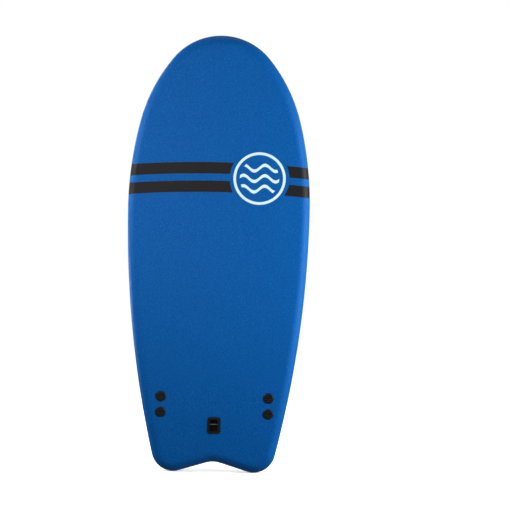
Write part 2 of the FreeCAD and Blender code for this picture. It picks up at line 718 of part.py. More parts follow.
LEASH_FACE = f"{deck_level('dims.leash_height')} - dims.leash_proud"
TUB = "dims.leash_width - 2 * dims.leash_rim", "dims.leash_length - 2 * dims.leash_rim"
TUB_CORNER = "dims.leash_corner - dims.leash_rim / 2"

plug = doc.addObject("PartDesign::Body", "LeashPlug")
place(plug, "0", LEASH_FACE, "dims.leash_height", TO_DECK)
flange = rounded_rectangle(plug, "FlangeOutline", "XY_Plane", "dims.leash_width",
                           "dims.leash_length", "dims.leash_corner")
pad(plug, "Flange", flange, "dims.leash_flange", reverse=True)
tub = rounded_rectangle(plug, "TubOutline", "XY_Plane", *TUB, TUB_CORNER)
pad(plug, "Tub", tub, "dims.leash_depth", reverse=True)

cavity = doc.addObject("PartDesign::Body", "LeashCavity")
place(cavity, "0", LEASH_FACE, "dims.leash_height", TO_DECK)
mouth = rounded_rectangle(cavity, "CavityOutline", "XY_Plane",
                          *(f"{size} - 2 * dims.leash_wall" for size in TUB),
                          f"{TUB_CORNER} - dims.leash_wall")
pad(cavity, "Cavity", mouth, "dims.leash_depth - dims.leash_wall", reverse=True)

bar_length = f"{TUB[0]} - 2"
bar = primitive("Cylinder", "LeashBar",
                (f"-({bar_length}) / 2", f"{LEASH_FACE} + dims.leash_bar_depth",
                 "dims.leash_height + dims.leash_bar_rise"),
                Rotation(Vector(0, 1, 0), 90), Radius="dims.leash_bar_radius", Height=bar_length)
parts["leash_bar"] = bar
parts["leash_cup"] = cut("LeashCup", plug, fuse("CupHollow", [cavity, bar]))

border = "2 * dims.anchor_border"
anchor_box = centred_box("AnchorBox",
                         ("0", f"{LEASH_FACE} + dims.leash_proud + dims.skin_thickness"
                          " + dims.anchor_depth", "dims.leash_height"),
                         f"{TUB[0]} + {border}", "dims.thickness", f"{TUB[1]} + {border}")
anchor_fill = common("AnchorFill", core_blank, anchor_box)
parts["leash_anchor_block"] = cut("LeashAnchorBlock", anchor_fill, plug)

# ---------------------------------------------------------------- laminate with its cut-outs

slick_shell = cut("SlickShell", slick_blank, core_blank)
parts["bottom_slick"] = cut("BottomSlick", slick_shell, fuse("BottomOpenings", moulds))
stringers = [parts[f"stringer_{side}"] for side in SIDES]
parts["foam_core"] = cut("FoamCore", core_blank, fuse(
    "CoreOpenings", [*stringers, *moulds, *bolt_holes, anchor_box]))
parts["deck_skin"] = cut("DeckSkin", board, fuse(
    "SkinOpenings", [core_blank, slick_shell, plug, *deck_holes, *bolt_holes]))

# ---------------------------------------------------------------- export

doc.recompute()
for item in doc.Objects:
    if {"Invalid", "Error"} & set(item.State):
        raise RuntimeError(f"{item.Label} was not built: {item.State}")
for node, item in parts.items():
    item.Label = node
    shape = item.Shape
    if shape.isNull() or not shape.isValid() or len(shape.Solids) != 1:
        raise RuntimeError(f"{node} is not one valid solid")

os.makedirs("parts", exist_ok=True)
for node, item in parts.items():
    item.Shape.exportStep(f"parts/{node}.step")
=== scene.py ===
import math
from itertools import pairwise

import bmesh
import bpy
from mathutils import Matrix, Vector
from mathutils.geometry import delaunay_2d_cdt

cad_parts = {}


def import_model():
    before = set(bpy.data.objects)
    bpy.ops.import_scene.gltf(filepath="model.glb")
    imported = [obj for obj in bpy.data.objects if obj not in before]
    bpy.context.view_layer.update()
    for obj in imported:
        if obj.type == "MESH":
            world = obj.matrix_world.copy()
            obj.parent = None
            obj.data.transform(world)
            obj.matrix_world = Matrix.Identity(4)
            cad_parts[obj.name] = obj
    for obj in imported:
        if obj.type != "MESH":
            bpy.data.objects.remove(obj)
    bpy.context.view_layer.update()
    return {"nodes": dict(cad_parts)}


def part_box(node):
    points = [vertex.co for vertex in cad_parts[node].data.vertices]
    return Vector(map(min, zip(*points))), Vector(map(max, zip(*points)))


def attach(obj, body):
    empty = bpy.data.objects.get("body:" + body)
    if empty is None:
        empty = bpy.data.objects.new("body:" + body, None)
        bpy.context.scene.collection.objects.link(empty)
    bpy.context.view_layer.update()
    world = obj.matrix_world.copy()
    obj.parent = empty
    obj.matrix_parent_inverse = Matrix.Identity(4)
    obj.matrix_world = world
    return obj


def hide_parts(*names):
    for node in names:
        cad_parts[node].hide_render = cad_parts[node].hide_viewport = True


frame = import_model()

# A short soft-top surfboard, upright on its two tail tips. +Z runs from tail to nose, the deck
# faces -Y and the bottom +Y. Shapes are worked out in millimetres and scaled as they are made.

MM = 0.001
SIDES = {"left": -1, "right": +1}
ENDS = {"front": +1, "rear": -1}


def node_box(node):
    """Lowest and highest corner of a CAD node, in millimetres."""
    return [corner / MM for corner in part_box(node)]


# ---------------------------------------------------------------- the board's form, millimetres

SKIN_LOW, SKIN_HIGH = node_box("deck_skin")
LENGTH = SKIN_HIGH.z
HALF_WIDTH = SKIN_HIGH.x
WIDE_POINT = 830  # height of the greatest width
NOSE_RADIUS = 197
SHOULDER_RADIUS = 498  # between the nose and the rail
FRONT_RAIL_RADIUS = 1100
TIP_RADIUS = 69
TIP_SPACING = 254  # between the lowest points of the two tail tips
NOTCH_DEPTH = 32
NOTCH_RADIUS = 78

THICKNESS = 60
BOTTOM_FLAT = 170, 760  # heights between which the bottom is flat
BOTTOM_LIFT = 14, 70  # how far it goes toward -Y by the tail and by the nose
DECK_FLAT = 400, 700
DECK_DROP = 6, -52  # how far the deck goes toward +Y by the tail and by the nose
DECK_EDGE = 30  # radius of the round from deck to rail
BOTTOM_EDGE = 8
SKIN = 5  # thickness of the foam skin
SLICK = 2  # thickness of the bottom sheet
SLICK_BORDER = 9  # width of the skin that shows round the sheet
BORDER_ROUND = 0.35  # round of the skin's edge at the sheet
PARTING = 0.15  # gap round a piece that is set in another
FIT_GAP = 0.3  # gap round a piece that slides in another

DECK_GRID = 13  # spacing of the points inside a wide surface
SLICK_GRID = 16
HIDDEN_GRID = 40


def bend(z, flat, lifts):
    """How far a long curve is off its flat stretch at height z."""
    run = max(flat[0] - z, z - flat[1], 0)
    if not run:
        return 0
    whole, lift = (flat[0], lifts[0]) if z < flat[0] else (LENGTH - flat[1], lifts[1])
    radius = (whole**2 + lift**2) / (2 * abs(lift))
    return math.copysign(radius - math.sqrt(radius**2 - run**2), lift)


def bottom_level(z):
    return -bend(z, BOTTOM_FLAT, BOTTOM_LIFT)


def deck_level(z):
    return bend(z, DECK_FLAT, DECK_DROP) - THICKNESS


def toward(angle):
    return Vector((math.cos(angle), math.sin(angle)))


def circles_meet(centre_a, radius_a, centre_b, radius_b):
    """The two points where two circles cross."""
    line = centre_b - centre_a
    along = (radius_a**2 - radius_b**2 + line.length_squared) / (2 * line.length)
    across = math.sqrt(radius_a**2 - along**2)
    foot = centre_a + line.normalized() * along
    return [foot + side * across * line.orthogonal().normalized() for side in (-1, +1)]


def angle_of(vector):
    return math.atan2(vector.y, vector.x)


def outline(step=9):
    """Points and outward normals round the board from the nose, clockwise seen from the deck."""
    nose = Vector((0, LENGTH - NOSE_RADIUS))
    front = Vector((HALF_WIDTH - FRONT_RAIL_RADIUS, WIDE_POINT))
    tip = Vector((TIP_SPACING / 2, TIP_RADIUS))
    notch = Vector((0, NOTCH_DEPTH - NOTCH_RADIUS))
    shoulder = min(circles_meet(front, FRONT_RAIL_RADIUS - SHOULDER_RADIUS,
                                nose, SHOULDER_RADIUS - NOSE_RADIUS), key=lambda point: point.y)
    run, rise = HALF_WIDTH - tip.x, WIDE_POINT - tip.y
    rear_radius = (run**2 + rise**2 - TIP_RADIUS**2) / (2 * (run - TIP_RADIUS))
    rear = Vector((HALF_WIDTH - rear_radius, WIDE_POINT))
    span = tip - notch
    flank = angle_of(span) - math.acos(-(TIP_RADIUS + NOTCH_RADIUS) / span.length)
    turns = [math.pi / 2, angle_of(nose - shoulder), angle_of(shoulder - front), 0,
             angle_of(tip - rear), flank, -math.pi / 2]
    arcs = [(nose, NOSE_RADIUS), (shoulder, SHOULDER_RADIUS), (front, FRONT_RAIL_RADIUS),
            (rear, rear_radius), (tip, TIP_RADIUS), (notch, -NOTCH_RADIUS)]
    half = []
    for (centre, radius), (start, stop) in zip(arcs, pairwise(turns)):
        count = max(3, round(abs(radius * (stop - start)) / step))
        for index in range(count):
            normal = toward(start + (stop - start) * index / count)
            half.append((centre + radius * normal, normal))
        if centre == tip:
            from_tip = tip + TIP_RADIUS * toward(flank)
            to_notch = notch - NOTCH_RADIUS * toward(flank)
            straight = round((to_notch - from_tip).length / step)
            for index in range(straight):
                half.append((from_tip.lerp(to_notch, index / straight), toward(flank)))
    half.append((notch + Vector((0, NOTCH_RADIUS)), toward(-math.pi / 2)))

    def mirrored(vector):
        return Vector((-vector.x, vector.y))

    return half + [(mirrored(point), mirrored(normal)) for point, normal in half[-2:0:-1]]


OUTLINE = outline()


def rail_loop(inset, level):
    """A loop inside the outline; level gives its Y at a height."""
    spots = [point - inset * normal for point, normal in OUTLINE]
    return [Vector((spot.x, level(spot.y), spot.y)) for spot in spots]


def rounded_loops(level, inward, inset, radius, turns):
    """Loops over the round between a surface (turn 0) and the wall of the rail, where a ball
    would touch both. inward is the sign of Y from the surface into the board."""
    loops = []
    for turn in turns:
        loop = []
        for point, normal in OUTLINE:
            centre = point - (inset + radius) * normal
            slope = (level(centre.y + 1) - level(centre.y - 1)) / 2
            depth = radius * (math.hypot(1, slope) - math.cos(turn))
            spot = centre + radius * math.sin(turn) * normal
            loop.append(Vector((spot.x, level(centre.y) + inward * depth, spot.y)))
        loops.append(loop)
    return loops


def between(near, far, shares):
    """Loops part of the way from one loop to another."""
    return [[a.lerp(b, share) for a, b in zip(near, far)] for share in shares]


# ---------------------------------------------------------------- flat loops


def rounded_rectangle(width, length, radius, per_corner=10, grow=0.0, middle=(0, 0)):
    """A rectangle with round corners, grown all round, as flat points."""
    x, y, radius = width / 2 + grow, length / 2 + grow, radius + grow
    points = []
    for quarter in range(4):
        right, top = (1, -1, -1, 1)[quarter], (1, 1, -1, -1)[quarter]
        centre = Vector((right * (x - radius), top * (y - radius)))
        for index in range(per_corner + 1):
            points.append(centre + radius * toward((quarter + index / per_corner) * math.pi / 2))
    return [point + Vector(middle) for point in points]


def circle(radius, count=64, middle=(0, 0)):
    return [radius * toward(math.tau * index / count) + Vector(middle) for index in range(count)]


def seen_flat(point):
    """A point of the board as its X and Z."""
    return Vector((point.x, point.z))


def in_loop(point, loop):
    """Whether a flat point is inside a flat loop."""
    inside = False
    for a, b in pairwise([*loop, loop[0]]):
        if (a.y > point.y) != (b.y > point.y):
            crossing = a.x + (point.y - a.y) * (b.x - a.x) / (b.y - a.y)
            inside ^= point.x < crossing
    return inside


def near_loop(point, loop, distance):
    return any((point - other).length_squared < distance**2 for other in loop)


# ---------------------------------------------------------------- meshes


class Mesh:
    """Gathers loops and the faces between them, in millimetres."""

    def __init__(self):
        self.points, self.faces = [], []

    def loop(self, points):
        start = len(self.points)
        self.points += [Vector(point) for point in points]
        return list(range(start, len(self.points)))

    def bridge(self, *loops):
        """Quads between loops of the same count, one after the other."""
        for near, far in pairwise(loops):
            for index, spot in enumerate(near):
                after = (index + 1) % len(near)
                self.faces.append((spot, near[after], far[after], far[index]))

    def fan(self, loop):
        """Closes a loop with triangles round its middle."""
        middle = sum((self.points[spot] for spot in loop), Vector((0, 0, 0))) / len(loop)
        hub, = self.loop([middle])
        for spot, after in zip(loop, loop[1:] + loop[:1]):
            self.faces.append((spot, after, hub))

    def fill(self, outer, holes=(), flatten=seen_flat, lift=None, spacing=None):
        """Triangles between a loop and the loops of its holes. Where spacing is set, a grid of
        points is added inside, each on the surface that lift gives for a flat point."""
        loops = [outer, *holes]
        flat = [[flatten(self.points[spot]) for spot in loop] for loop in loops]
        spots, edges = [], []
        for loop, shape in zip(loops, flat):
            first, count = len(spots), len(loop)
            spots += list(zip(shape, loop))
            edges += [(first + index, first + (index + 1) % count) for index in range(count)]
        if spacing:
            for point in grid_inside(flat[0], flat[1:], spacing):
                spots.append((point, self.loop([lift(point)])[0]))
        whole_hull, same_place = 0, 1e-5
        points, _, faces, origins, _, _ = delaunay_2d_cdt(
            [point for point, _ in spots], edges, [], whole_hull, same_place, True)
        places = [spots[origin[0]][1] for origin in origins]
        for face in faces:
            centre = sum((points[corner] for corner in face), Vector((0, 0))) / len(face)
            if in_loop(centre, flat[0]) and not any(in_loop(centre, hole) for hole in flat[1:]):
                self.faces.append(tuple(places[corner] for corner in face))

    def build(self, name, material, sharp=40):
        """The mesh in metres, smooth but for edges sharper than an angle in degrees."""
        data = bpy.data.meshes.new(name)
        data.from_pydata([point * MM for point in self.points], [], self.faces)
        cleaned = bmesh.new()
        cleaned.from_mesh(data)
        bmesh.ops.remove_doubles(cleaned, verts=cleaned.verts, dist=1e-7)
        bmesh.ops.recalc_face_normals(cleaned, faces=cleaned.faces)
        cleaned.to_mesh(data)
        cleaned.free()
        data.shade_smooth()
        data.set_sharp_from_angle(angle=math.radians(sharp))
        data.materials.append(material)
        return data


def grid_inside(outer, holes, spacing):
    """Points of a triangular grid inside a flat loop, clear of it and of its holes."""
    low_x, high_x = min(p.x for p in outer), max(p.x for p in outer)
    low_y, high_y = min(p.y for p in outer), max(p.y for p in outer)
    row_height = 0.866
    rows = int((high_y - low_y) / (spacing * row_height))
    columns = int((high_x - low_x) / spacing)
    clear = 0.45 * spacing
    found = []
    for row in range(1, rows + 1):
        for column in range(columns + 1):
            shift = 0.5 * (row % 2)
            point = Vector((low_x + spacing * (column + shift), low_y + row * spacing * row_height))
            if not in_loop(point, outer) or near_loop(point, outer, clear):
                continue
            if any(in_loop(point, hole) or near_loop(point, hole, clear) for hole in holes):
                continue
            found.append(point)
    return found


def piece(name, data, body, slot, *nodes, matrix=Matrix()):
    """Puts a mesh in the scene as a piece that rides on a body and stands for CAD nodes. Its wide
    faces keep their own shading up to their edges."""
    made = bpy.data.objects.new(name, data)
    normals = made.modifiers.new("wide_faces_first", "WEIGHTED_NORMAL")
    normals.keep_sharp = True
    normals.weight = 80
    bpy.context.scene.collection.objects.link(made)
    made.matrix_world = matrix
    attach(made, body)
    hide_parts(*nodes)


# ---------------------------------------------------------------- materials


class Material:
    """A Principled material with helpers for its nodes. Coordinates are the object's own, which
    on the board's pieces are metres in the board's frame."""

    def __init__(self, name, colour, roughness, **sockets):
        self.made = bpy.data.materials.new(name)
        self.made.use_nodes = True
        self.nodes, self.links = self.made.node_tree.nodes, self.made.node_tree.links
        self.surface = self.nodes["Principled BSDF"]
        self.where = self.nodes.new("ShaderNodeTexCoord").outputs["Object"]
        self.made.diffuse_color = (*colour, 1)
        self.set(Base_Color=(*colour, 1), Roughness=roughness, **sockets)

    def set(self, **sockets):
        for name, value in sockets.items():
            self.feed(self.surface.inputs[name.replace("_", " ")], value)

    def feed(self, socket, value):
        if isinstance(value, bpy.types.NodeSocket):
            self.links.new(value, socket)
        elif value is not None:
            socket.default_value = value

    def node(self, kind, *inputs, **settings):
        made = self.nodes.new("ShaderNode" + kind)
        for name, value in settings.items():
            setattr(made, name, value)
        for socket, value in zip(made.inputs, inputs):
            self.feed(socket, value)
        return made

    def math(self, operation, *inputs):
        return self.node("Math", *inputs, operation=operation).outputs[0]

    def stretched(self, x, y, z):
        """The coordinates scaled along each axis."""
        made = self.node("Mapping", self.where)
        made.inputs["Scale"].default_value = (x, y, z)
        return made.outputs[0]

    def noise(self, scale, detail=4, roughness=0.6, where=None):
        made = self.node("TexNoise")
        self.feed(made.inputs["Vector"], where or self.where)
        for name, value in (("Scale", scale), ("Detail", detail), ("Roughness", roughness)):
            made.inputs[name].default_value = value
        return made.outputs[0]

    def cells(self, scale, feature):
        made = self.node("TexVoronoi", feature=feature)
        self.feed(made.inputs["Vector"], self.where)
        made.inputs["Scale"].default_value = scale
        return made.outputs["Distance"]

    def spread(self, value, low, high, to_low=0.0, to_high=1.0):
        """A value's span mapped to another span."""
        return self.node("MapRange", value, low, high, to_low, to_high).outputs[0]

    def mix(self, share, a, b):
        """Colour a where share is 0 and b where it is 1."""
        made = self.node("Mix", data_type="RGBA")
        for socket, value in zip((made.inputs[0], made.inputs[6], made.inputs[7]), (share, a, b)):
            opaque = (*value, 1) if isinstance(value, tuple) else value
            self.feed(socket, opaque)
        return made.outputs[2]

    def bump(self, *layers):
        """Layers of (height, depth in metres), fine ones last."""
        normal = None
        for height, depth in layers:
            made = self.node("Bump")
            made.inputs["Strength"].default_value = 1.0
            made.inputs["Distance"].default_value = depth
            self.feed(made.inputs["Height"], height)
            if normal:
                self.feed(made.inputs["Normal"], normal)
            normal = made.outputs[0]
        self.set(Normal=normal)


# The prints, in metres. Shares of the ring's radius or of its line's width say so.

RING_HEIGHT = 0.928
DECK_MARK = dict(x=0.126, z=RING_HEIGHT, radius=0.078, line=0.0085)
BOTTOM_MARK = dict(x=0.0, z=RING_HEIGHT, radius=0.129, line=0.013)
WAVE_LEVELS = -0.42, 0.0, 0.42  # shares of the radius
WAVE_LENGTH = 0.86  # share of the radius
WAVE_HEIGHT = 0.12  # share of the radius
WAVE_REACH = 0.6  # share of the line's width, from a wave's middle to its edge
WAVE_MARGIN = 1.9  # share of the line's width, from the waves' ends to the ring's middle
STRIPES = 0.9585, 0.9005  # heights of the two stripes on the middle line
STRIPE_WIDTH = 0.0355
STRIPE_BOW = 0.155  # how fast they drop toward the rails, per metre
STRIPE_GAP = 0.094  # radius kept clear of them round the ring's middle
PRINT_GLOSS = 0.08  # how much smoother the ink is than the foam


def mark(material, x, z, radius, line):
    """1 on the lines of a plain emblem, a ring with three waves in it, and the distance from
    its middle."""
    axes = material.node("SeparateXYZ", material.where).outputs
    across = material.math("SUBTRACT", axes["X"], x)
    up = material.math("SUBTRACT", axes["Z"], z)
    away = material.math("POWER", material.math("ADD", material.math("POWER", across, 2.0),
                                                material.math("POWER", up, 2.0)), 0.5)
    ring = material.math("COMPARE", away, radius, line / 2)
    swell = material.math("MULTIPLY", material.math("SINE", material.math(
        "MULTIPLY", across, math.tau / (WAVE_LENGTH * radius))), WAVE_HEIGHT * radius)
    waves = None
    for level in WAVE_LEVELS:
        crest = material.math("ADD", swell, level * radius)
        wave = material.math("COMPARE", up, crest, WAVE_REACH * line)
        waves = material.math("MAXIMUM", waves, wave) if waves else wave
    inside = material.math("LESS_THAN", away, radius - WAVE_MARGIN * line)
    return material.math("MAXIMUM", ring, material.math("MULTIPLY", waves, inside)), away


def heather(material, dark, mid, light):
    """Short fibres of three blues, lying both ways, in faint patches."""
    along = material.noise(620, 3, 0.7, material.stretched(1.0, 1.0, 0.3))
    across = material.noise(620, 3, 0.7, material.stretched(0.3, 1.0, 1.0))
    specks = material.noise(1500, 2, 0.8)
    patches = material.noise(70, 4, 0.6)
    fibres = material.math("ADD", material.math("MULTIPLY", along, across), material.math(
        "MULTIPLY", material.math("SUBTRACT", specks, 0.5), 0.2))
    share = material.math("ADD", material.spread(fibres, 0.14, 0.37),
                          material.math("MULTIPLY", material.math("SUBTRACT", patches, 0.5), 0.3))
    shade = material.mix(material.spread(share, 0.0, 0.55), dark, mid)
    return material.mix(material.spread(share, 0.5, 1.15), shade, light)


def deck_foam():
    """Blue heathered foam with two bowed stripes and the emblem printed on it."""
    made = Material("deck_foam", (0.003, 0.095, 0.34), 0.46, Specular_IOR_Level=0.07)
    blue = heather(made, (0.0006, 0.066, 0.262), (0.0012, 0.090, 0.335), (0.007, 0.130, 0.43))
    axes = made.node("SeparateXYZ", made.where).outputs
    bowed = made.math("ADD", axes["Z"], made.math("MULTIPLY", made.math(
        "POWER", made.math("ABSOLUTE", axes["X"]), 2.0), STRIPE_BOW))
    bands = None
    for level in STRIPES:
        band = made.math("COMPARE", bowed, level, STRIPE_WIDTH / 2)
        bands = made.math("MAXIMUM", bands, band) if bands else band
    lines, away = mark(made, **DECK_MARK)
    bands = made.math("MULTIPLY", bands, made.math("GREATER_THAN", away, STRIPE_GAP))
    ink = made.mix(made.noise(700, 3, 0.7), (0.011, 0.0095, 0.0095), (0.021, 0.018, 0.0185))
    colour = made.mix(bands, blue, ink)
    white = made.mix(made.noise(600, 2), (0.56, 0.74, 0.80), (0.66, 0.84, 0.89))
    colour = made.mix(lines, colour, white)
    grain = made.cells(760, "SMOOTH_F1")
    made.bump((made.noise(9, 3, 0.5), 0.0011), (made.noise(60, 3), 0.00016), (grain, 0.00022),
              (lines, 0.00005))
    printed = made.math("MAXIMUM", bands, lines)
    worn = made.spread(made.noise(30, 5, 0.7), 0.3, 0.7, 0.42, 0.52)
    rough = made.math("SUBTRACT", worn, made.math("MULTIPLY", printed, PRINT_GLOSS))
    made.set(Base_Color=colour, Roughness=rough)
    return made.made


def slick_sheet():
    """Glossy black sheet, a little wavy and clouded, with the large emblem."""
    made = Material("slick_sheet", (0.006, 0.006, 0.008), 0.16, Specular_IOR_Level=0.32)
    lines, _ = mark(made, **BOTTOM_MARK)
    cloud = made.noise(7, 5, 0.6, made.stretched(1.6, 1.0, 0.6))
    black = made.mix(cloud, (0.0018, 0.0018, 0.0024), (0.0055, 0.0055, 0.0070))
    blue = made.mix(made.noise(500, 2), (0.012, 0.25, 0.74), (0.02, 0.31, 0.83))
    rough = made.spread(cloud, 0.3, 0.7, 0.11, 0.25)
    streaks = made.noise(170, 4, 0.75, made.stretched(1.0, 1.0, 0.08))
    scuffs = made.spread(streaks, 0.62, 0.74, 0, 0.07)
    made.bump((made.noise(8, 4, 0.5), 0.0022), (made.noise(900, 3), 0.00002))
    made.set(Base_Color=made.mix(lines, black, blue), Roughness=made.math("ADD", rough, scuffs))
    return made.made


def moulded_plastic(name, colour, roughness, gloss, grain, depth):
    """Black plastic with a fine moulded grain and slight flow marks."""
    made = Material(name, colour, roughness, Specular_IOR_Level=gloss)
    flow = made.noise(28, 4, 0.6, made.stretched(1.0, 1.0, 0.35))
    lighter = tuple(1.9 * part for part in colour)
    made.bump((made.noise(90, 2), 0.00008), (made.cells(grain, "SMOOTH_F1"), depth))
    made.set(Base_Color=made.mix(flow, colour, lighter),
             Roughness=made.spread(flow, 0.3, 0.7, roughness - 0.06, roughness + 0.08))
    return made.made


def steel(name, dark, light, roughness):
    """Brushed steel."""
    made = Material(name, light, roughness, Metallic=1.0)
    brushed = made.noise(900, 3, 0.7, made.stretched(0.06, 1.0, 1.0))
    made.bump((brushed, 0.00003))
    made.set(Base_Color=made.mix(brushed, dark, light),
             Roughness=made.spread(brushed, 0.3, 0.7, roughness - 0.08, roughness + 0.1))
    return made.made


def bead_foam(name, colour, bead):
    """Moulded foam: packed beads with darker seams."""
    made = Material(name, colour, 0.8, Specular_IOR_Level=0.3)
    seams = made.cells(1 / bead, "DISTANCE_TO_EDGE")
    darker = tuple(0.72 * part for part in colour)
    made.bump((made.spread(seams, 0.0, 0.2), 0.0003))
    made.set(Base_Color=made.mix(made.spread(seams, 0.0, 0.12), darker, colour))
    return made.made


def ply():
    """Wood with its grain along the board."""
    made = Material("stringer_wood", (0.62, 0.45, 0.27), 0.6)
    rings = made.noise(60, 6, 0.6, made.stretched(1.0, 1.0, 0.05))
    made.bump((rings, 0.0002))
    shade = made.mix(made.spread(rings, 0.35, 0.65), (0.42, 0.27, 0.14), (0.70, 0.53, 0.34))
    made.set(Base_Color=shade)
    return made.made


LOOKS = {
    "deck_foam": deck_foam(),
    "slick_sheet": slick_sheet(),
    "core_foam": bead_foam("core_foam", (0.86, 0.86, 0.84), 0.0045),
    "dense_foam": bead_foam("dense_foam", (0.76, 0.70, 0.54), 0.0016),
    "stringer_wood": ply(),
    "black_plastic": moulded_plastic("black_plastic", (0.0050, 0.0047, 0.0046), 0.38,
                                     gloss=0.28, grain=1500, depth=0.00005),
    "fin_plastic": moulded_plastic("fin_plastic", (0.005, 0.005, 0.006), 0.20,
                                   gloss=0.5, grain=1100, depth=0.000012),
    "steel": steel("steel", (0.50, 0.50, 0.51), (0.68, 0.68, 0.70), 0.28),
    # A darkened copy of the steel, as painted shade: the leash bar is bright stainless steel, made
    # darker here so that it shows no glint
    "shade_darkened_steel": steel("shade_darkened_steel", (0.13, 0.126, 0.13), (0.21, 0.205, 0.21), 0.42),
}

# ---------------------------------------------------------------- hardware places, from the frame


def middle(node):
    low, high = node_box(node)
    return (low + high) / 2


BOLTS = {(side, end): middle(f"deck_bolt_{side}_{end}") for side in SIDES for end in ENDS}
BOLT_LOW, BOLT_HIGH = node_box("deck_bolt_left_front")
CAP_RADIUS = (BOLT_HIGH.x - BOLT_LOW.x) / 2
CAP_HEIGHT = 3.2
CAP_RECESS = 2.2  # how deep its underside sits in the deck
SHANK_RADIUS = 5
SHANK_LENGTH = BOLT_HIGH.y - BOLT_LOW.y - CAP_HEIGHT

CUP_LOW, CUP_HIGH = node_box("leash_cup")
CUP = (CUP_LOW + CUP_HIGH) / 2
CUP_SIZE = CUP_HIGH - CUP_LOW
CUP_CORNER = 7
CUP_FLANGE = 3  # thickness of the flange
CUP_RIM = 4  # width of the flange round the tub

PLATES = {side: middle(f"fin_box_{side}") for side in SIDES}
PLATE_LOW, PLATE_HIGH = node_box("fin_box_right")
PLATE_SIZE = PLATE_HIGH - PLATE_LOW
PLATE_CORNER = 14

# ---------------------------------------------------------------- deck skin


def deck_skin():
    """The foam skin: deck, rails and a narrow border on the bottom, with its inner side and the
    openings for the bolt caps and the leash cup."""
    mesh = Mesh()
    steps = 12
    turns = [index / steps * math.pi / 2 for index in range(steps + 1)]

    def under_deck(z):
        return deck_level(z) + SKIN

    def under_slick(z):
        return bottom_level(z) - SLICK

    def in_border(depth):
        return lambda z: bottom_level(z) - depth

    deck_round = rounded_loops(deck_level, +1, 0, DECK_EDGE, turns)
    bottom_round = rounded_loops(bottom_level, -1, 0, BOTTOM_EDGE, turns[::-2])
    outer = deck_round + between(deck_round[-1], bottom_round[0], (0.25, 0.5, 0.75)) + bottom_round
    outer += [rail_loop(SLICK_BORDER - BORDER_ROUND, in_border(0)),
              rail_loop(SLICK_BORDER, in_border(BORDER_ROUND)),
              rail_loop(SLICK_BORDER, in_border(SLICK))]
    inner = rounded_loops(under_slick, -1, SKIN, BOTTOM_EDGE - SKIN, turns[::4])
    inner += rounded_loops(under_deck, +1, SKIN, DECK_EDGE - SKIN, turns[::-2])
    loops = [mesh.loop(points) for points in outer + inner]
    mesh.bridge(*loops)

    lips = [(6, 0), (3, 0.06), (1.3, 0.25), (0.5, 0.6), (0, 1.1)]  # growth and depth

    def opening(shape, floor_shape, recess):
        """A recess with a soft lip and a hole through its floor; shape(grow) is its outline."""
        rings = [mesh.loop([(p.x, deck_level(p.y) + depth, p.y) for p in shape(grow)])
                 for grow, depth in lips]
        rings += [mesh.loop([(p.x, recess, p.y) for p in shape(0)]),
                  mesh.loop([(p.x, recess, p.y) for p in floor_shape]),
                  mesh.loop([(p.x, under_deck(p.y), p.y) for p in floor_shape])]
        mesh.bridge(*rings)
        return rings[0], rings[-1]

    holes = []
    for spot in BOLTS.values():
        place = spot.x, spot.z
        holes.append(opening(lambda grow: circle(CAP_RADIUS + FIT_GAP + grow, middle=place),
                             circle(SHANK_RADIUS + FIT_GAP, middle=place),
                             deck_level(spot.z) + CAP_RECESS))
    place = CUP.x, CUP.z
    tub = rounded_rectangle(CUP_SIZE.x - 2 * CUP_RIM, CUP_SIZE.z - 2 * CUP_RIM,
                            CUP_CORNER - CUP_RIM / 2, middle=place)
    holes.append(opening(lambda grow: rounded_rectangle(
        CUP_SIZE.x, CUP_SIZE.z, CUP_CORNER, grow=grow + PARTING, middle=place), tub,
        CUP_LOW.y + CUP_FLANGE))
    mesh.fill(loops[0], [rim for rim, _ in holes],
              lift=lambda p: (p.x, deck_level(p.y), p.y), spacing=DECK_GRID)
    mesh.fill(loops[-1], [floor for _, floor in holes],
              lift=lambda p: (p.x, under_deck(p.y), p.y), spacing=HIDDEN_GRID)
    data = mesh.build("deck_skin_foam", LOOKS["deck_foam"], 50)
    piece("deck_skin_foam", data, "board", "deck_foam", "deck_skin")


def slick():
    """The plastic sheet, with openings round the two fin box plates."""
    mesh = Mesh()
    edge, corner = 0.4, 0.12
    steps = (4, 0), (1.2, 0), (edge, 0), (corner, corner), (0, edge), (0, SLICK)

    def sheet_loops(points_at):
        """Loops over the sheet's outer face, round its edge and onto its inner face."""
        return [mesh.loop(points_at(inset, depth)) for inset, depth in steps]

    def border(inset, depth):
        return rail_loop(SLICK_BORDER + PARTING + inset, lambda z: bottom_level(z) - depth)

    def cut_out(side):
        spot = PLATES[side].x, PLATES[side].z
        return lambda inset, depth: [
            (p.x, bottom_level(p.y) - depth, p.y) for p in rounded_rectangle(
                PLATE_SIZE.x, PLATE_SIZE.z, PLATE_CORNER, grow=PARTING + inset, middle=spot)]

    outside = sheet_loops(border)
    insides = [sheet_loops(cut_out(side)) for side in SIDES]
    for loops in (outside, *insides):
        mesh.bridge(*loops)
    for index, depth, spacing in ((0, 0, SLICK_GRID), (-1, SLICK, HIDDEN_GRID)):
        mesh.fill(outside[index], [loops[index] for loops in insides],
                  lift=lambda p: (p.x, bottom_level(p.y) - depth, p.y), spacing=spacing)
    data = mesh.build("slick_sheet", LOOKS["slick_sheet"])
    piece("slick_sheet", data, "board", "slick_sheet", "bottom_slick")


deck_skin()
slick()

# ---------------------------------------------------------------- deck bolts

DECKWARD = Matrix.Rotation(math.pi / 2, 4, "X")


